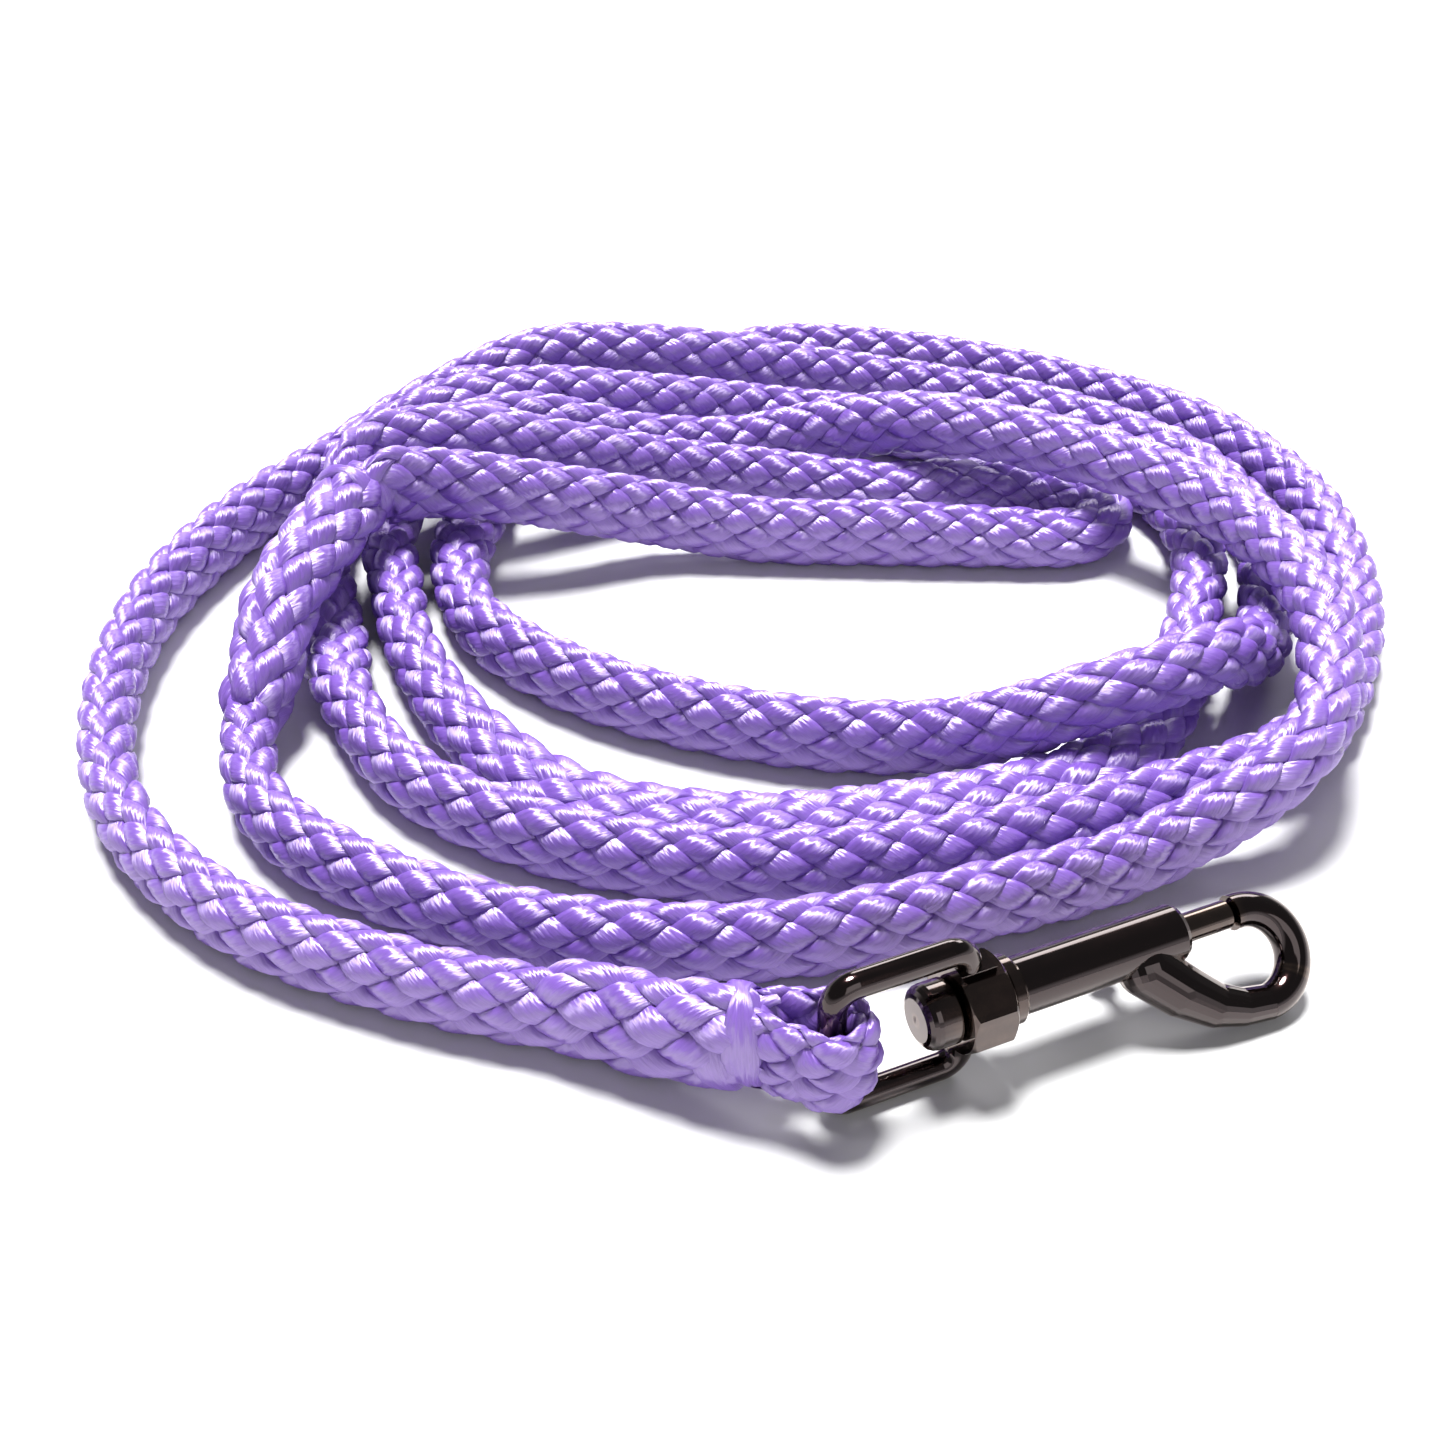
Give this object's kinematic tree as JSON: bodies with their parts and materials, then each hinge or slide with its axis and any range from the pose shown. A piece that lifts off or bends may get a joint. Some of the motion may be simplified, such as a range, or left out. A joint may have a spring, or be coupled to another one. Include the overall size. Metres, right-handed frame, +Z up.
{
  "type": "lead rope",
  "caption": "Lilac braided lead rope for a horse, laid in a loose coil, with an eye-spliced swivel bolt snap at one end and a spliced hand loop at the other.",
  "frame": {"origin": "on the surface the rope lies on, under the middle of the bolt snap", "axes": "+X along the snap from its eye to its hook, +Z up"},
  "size_m": [0.2309, 0.2125, 0.0305],
  "materials": {
    "rope": "glossy braid",
    "splice": "glossy braid",
    "black_nickel": "polished",
    "bolt_metal": "polished",
    "spring_steel": "satin"
  },
  "bodies": {
    "rope": {"lead_rope": "rope", "snap_splice": "splice", "snap_eye_loop": "splice", "hand_splice": "splice", "hand_loop": "rope"},
    "eye": {"swivel_eye": "black_nickel"},
    "snap": {"snap_body": "black_nickel", "swivel_rivet": "black_nickel", "bolt_spring": "spring_steel"},
    "bolt": {"bolt": "bolt_metal", "thumb_stud": "black_nickel"}
  },
  "joints": [
    {"name": "eye_swing", "type": "hinge", "parent": "rope", "child": "eye", "pos_m": [-0.03485, 0.0015, 0.012], "axis": [0, 0, 1], "range_deg": [-80, 0]},
    {"name": "snap_swivel", "type": "hinge", "parent": "eye", "child": "snap", "pos_m": [-0.01405, 0.0015, 0.012], "axis": [1, 0, 0], "continuous": true},
    {"name": "bolt_slide", "type": "slide", "parent": "snap", "child": "bolt", "axis": [-1, 0, 0], "range_m": [0, 0.008], "stiffness_N_per_m": 500, "springref_m": -0.005, "deforming": ["bolt_spring"]}
  ]
}
